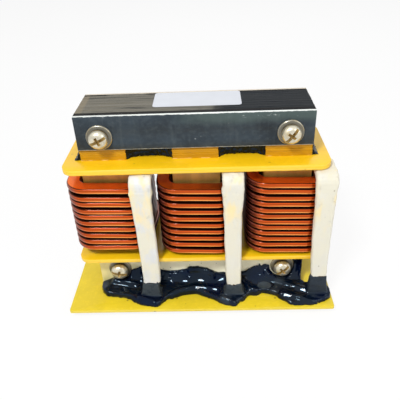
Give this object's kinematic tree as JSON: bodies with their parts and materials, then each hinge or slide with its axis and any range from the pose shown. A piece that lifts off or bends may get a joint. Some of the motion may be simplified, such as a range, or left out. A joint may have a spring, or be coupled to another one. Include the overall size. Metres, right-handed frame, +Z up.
{
  "type": "three-phase line reactor",
  "caption": "Three-limb laminated core with edge-wound flat copper coils between glass-epoxy boards, sleeved leads brought down through a potted base board.",
  "frame": {"origin": "centre of the base board's underside", "axes": "+X along the core past the three limbs, with each coil's leads on its +X side; +Y away from the side with the finished ends and the screw heads; +Z up, out of the base board"},
  "size_m": [0.12, 0.06, 0.092],
  "materials": {
    "glass_epoxy_base": "satin",
    "glass_epoxy_yellow": "satin",
    "glass_epoxy_pale": "satin",
    "core_steel": "laminated, lightly oxidised",
    "slate_plate": "blue-grey, mottled",
    "limb_tape": "satin",
    "gap_sheet": "satin",
    "copper": "clear enamel, glossy",
    "sleeving": "woven, coated",
    "plated_steel": "nickel-like plating",
    "adhesive": "glossy",
    "potting": "glossy",
    "label": "matt"
  },
  "bodies": {
    "root": {"base_board": "glass_epoxy_base", "coil_board": "glass_epoxy_yellow", "coil_left": "copper", "coil_middle": "copper", "coil_right": "copper", "flat_washers": "plated_steel", "gap_fillets": "adhesive", "gap_sheets_left": "gap_sheet", "gap_sheets_middle": "gap_sheet", "gap_sheets_right": "gap_sheet", "label": "label", "limb_left": "core_steel", "limb_middle": "core_steel", "limb_right": "core_steel", "lower_face_front": "glass_epoxy_pale", "lower_face_rear": "glass_epoxy_pale", "lower_yoke": "core_steel", "nuts": "plated_steel", "potting_front": "potting", "potting_rear": "potting", "screws": "plated_steel", "sleeve_front_left": "sleeving", "sleeve_front_middle": "sleeving", "sleeve_front_right": "sleeving", "sleeve_rear_left": "sleeving", "sleeve_rear_middle": "sleeving", "sleeve_rear_right": "sleeving", "spring_washers": "plated_steel", "top_board": "glass_epoxy_yellow", "top_face_front": "slate_plate", "top_face_rear": "slate_plate", "top_yoke": "core_steel", "wrap_left": "limb_tape", "wrap_middle": "limb_tape", "wrap_right": "limb_tape"}
  },
  "joints": []
}
